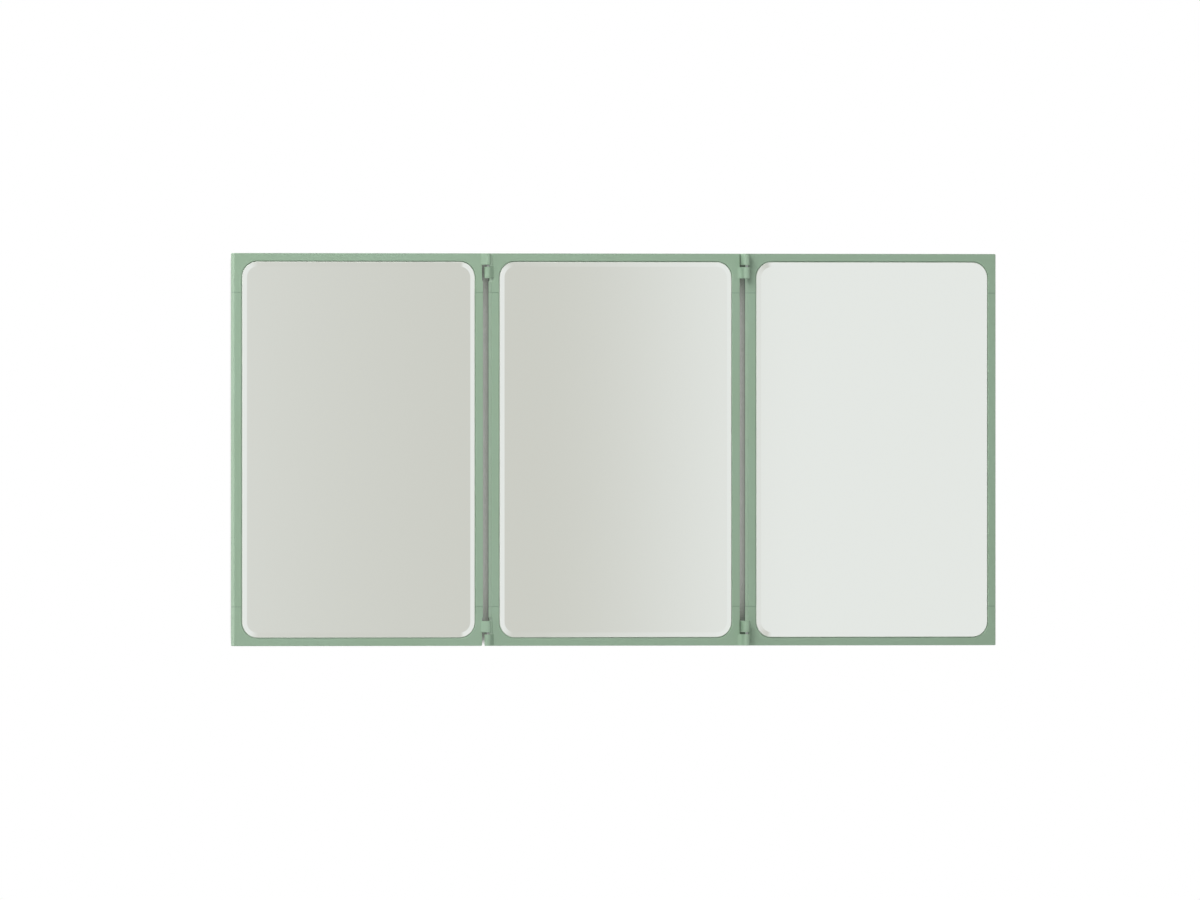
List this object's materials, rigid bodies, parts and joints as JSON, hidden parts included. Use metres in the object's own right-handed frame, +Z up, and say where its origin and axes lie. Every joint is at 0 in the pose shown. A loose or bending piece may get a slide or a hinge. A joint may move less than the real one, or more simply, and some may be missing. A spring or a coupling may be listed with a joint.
{
  "type": "wall mirror",
  "caption": "Folding wall mirror: bevelled mirrors in slim rectangular metal frames; the side wings swing forward on lift-off hinges and fold over the centre panel.",
  "frame": {"origin": "midway between the two keyholes, on the outer face of their plates, at the back of the centre panel", "axes": "+X to the right as seen from the front, +Y out of the back towards the wall, +Z up; the mirrors face -Y"},
  "size_m": [0.8042, 0.0304, 0.4],
  "materials": {
    "sage_paint": "satin sage-green powder coat over cast and extruded aluminium",
    "mirror_glass": "silvered float glass with a polished bevel and a ground edge",
    "foam_tape": "matte closed-cell foam",
    "fibreboard": "sealed fibreboard, fine felted grain",
    "black_screws": "black oxide steel",
    "rubber": "matte moulded rubber",
    "aluminium_bar": "mill finish",
    "steel_pin": "ground stainless steel",
    "zinc_plate": "zinc-plated steel sheet",
    "rivet": "satin aluminium"
  },
  "bodies": {
    "centre": {"centre_top_end": "sage_paint", "centre_bottom_end": "sage_paint", "centre_left_stile": "sage_paint", "centre_right_stile": "sage_paint", "centre_glass": "mirror_glass", "centre_glass_tape": "foam_tape", "centre_back_board": "fibreboard", "centre_back_screws": "black_screws", "centre_bumpers": "rubber", "centre_joining_keys": "aluminium_bar", "left_upper_pin": "steel_pin", "left_lower_pin": "steel_pin", "right_upper_pin": "steel_pin", "right_lower_pin": "steel_pin", "left_hanger": "zinc_plate", "right_hanger": "zinc_plate", "hanger_rivets": "rivet"},
    "left_wing": {"left_wing_top_end": "sage_paint", "left_wing_bottom_end": "sage_paint", "left_wing_left_stile": "sage_paint", "left_wing_right_stile": "sage_paint", "left_wing_glass": "mirror_glass", "left_wing_glass_tape": "foam_tape", "left_wing_back_board": "fibreboard", "left_wing_back_screws": "black_screws", "left_wing_bumpers": "rubber", "left_wing_joining_keys": "aluminium_bar"},
    "right_wing": {"right_wing_top_end": "sage_paint", "right_wing_bottom_end": "sage_paint", "right_wing_left_stile": "sage_paint", "right_wing_right_stile": "sage_paint", "right_wing_glass": "mirror_glass", "right_wing_glass_tape": "foam_tape", "right_wing_back_board": "fibreboard", "right_wing_back_screws": "black_screws", "right_wing_bumpers": "rubber", "right_wing_joining_keys": "aluminium_bar"}
  },
  "joints": [
    {"name": "left_wing_fold", "type": "hinge", "parent": "centre", "child": "left_wing", "pos_m": [-0.13555, -0.0158, -0.14], "axis": [0, 0, 1], "range_deg": [0, 180]},
    {"name": "right_wing_fold", "type": "hinge", "parent": "centre", "child": "right_wing", "pos_m": [0.13555, -0.0247, -0.14], "axis": [0, 0, -1], "range_deg": [0, 180]}
  ]
}
